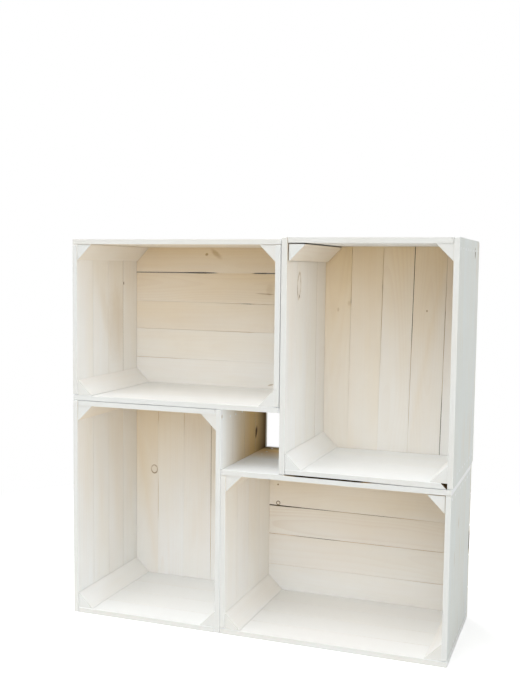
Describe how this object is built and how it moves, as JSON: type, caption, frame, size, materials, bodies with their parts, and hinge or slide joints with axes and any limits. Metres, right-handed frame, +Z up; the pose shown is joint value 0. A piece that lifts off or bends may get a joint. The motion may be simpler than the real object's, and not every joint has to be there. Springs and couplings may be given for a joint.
{
  "type": "stacked kindling crate set",
  "caption": "Slatted whitewashed pine crates on triangular corner posts, stood on edge with open fronts and stacked in a pinwheel round a small square hole, for kindling or logs.",
  "frame": {"origin": "middle of the underside: centre of the outer box in X and Y, on the floor plane in Z", "axes": "+X to the right and +Z up as seen from the front, +Y from the open front to the back"},
  "size_m": [0.871, 0.3044, 0.8725],
  "materials": {
    "end_frame": "whitewashed pine, matt, thin white wash over sawn grain",
    "side_board": "whitewashed pine, matt, thin white wash over sawn grain",
    "back_board": "whitewashed pine, matt, thinner wash with warm grain and small knots showing"
  },
  "bodies": {
    "root": {"upper_left_left_end_frame": "end_frame", "upper_left_right_end_frame": "end_frame", "upper_left_bottom_board_1": "side_board", "upper_left_bottom_board_2": "side_board", "upper_left_bottom_board_3": "side_board", "upper_left_bottom_board_4": "side_board", "upper_left_top_board_1": "side_board", "upper_left_top_board_2": "side_board", "upper_left_top_board_3": "side_board", "upper_left_top_board_4": "side_board", "upper_left_back_board_1": "back_board", "upper_left_back_board_2": "back_board", "upper_left_back_board_3": "back_board", "upper_left_back_board_4": "back_board", "upper_left_back_board_5": "back_board", "upper_right_bottom_end_frame": "end_frame", "upper_right_top_end_frame": "end_frame", "upper_right_right_board_1": "side_board", "upper_right_right_board_2": "side_board", "upper_right_right_board_3": "side_board", "upper_right_right_board_4": "side_board", "upper_right_left_board_1": "side_board", "upper_right_left_board_2": "side_board", "upper_right_left_board_3": "side_board", "upper_right_left_board_4": "side_board", "upper_right_back_board_1": "back_board", "upper_right_back_board_2": "back_board", "upper_right_back_board_3": "back_board", "upper_right_back_board_4": "back_board", "upper_right_back_board_5": "back_board", "lower_left_bottom_end_frame": "end_frame", "lower_left_top_end_frame": "end_frame", "lower_left_right_board_1": "side_board", "lower_left_right_board_2": "side_board", "lower_left_right_board_3": "side_board", "lower_left_right_board_4": "side_board", "lower_left_left_board_1": "side_board", "lower_left_left_board_2": "side_board", "lower_left_left_board_3": "side_board", "lower_left_left_board_4": "side_board", "lower_left_back_board_1": "back_board", "lower_left_back_board_2": "back_board", "lower_left_back_board_3": "back_board", "lower_left_back_board_4": "back_board", "lower_left_back_board_5": "back_board", "lower_right_left_end_frame": "end_frame", "lower_right_right_end_frame": "end_frame", "lower_right_bottom_board_1": "side_board", "lower_right_bottom_board_2": "side_board", "lower_right_bottom_board_3": "side_board", "lower_right_bottom_board_4": "side_board", "lower_right_top_board_1": "side_board", "lower_right_top_board_2": "side_board", "lower_right_top_board_3": "side_board", "lower_right_top_board_4": "side_board", "lower_right_back_board_1": "back_board", "lower_right_back_board_2": "back_board", "lower_right_back_board_3": "back_board", "lower_right_back_board_4": "back_board", "lower_right_back_board_5": "back_board"}
  },
  "joints": []
}
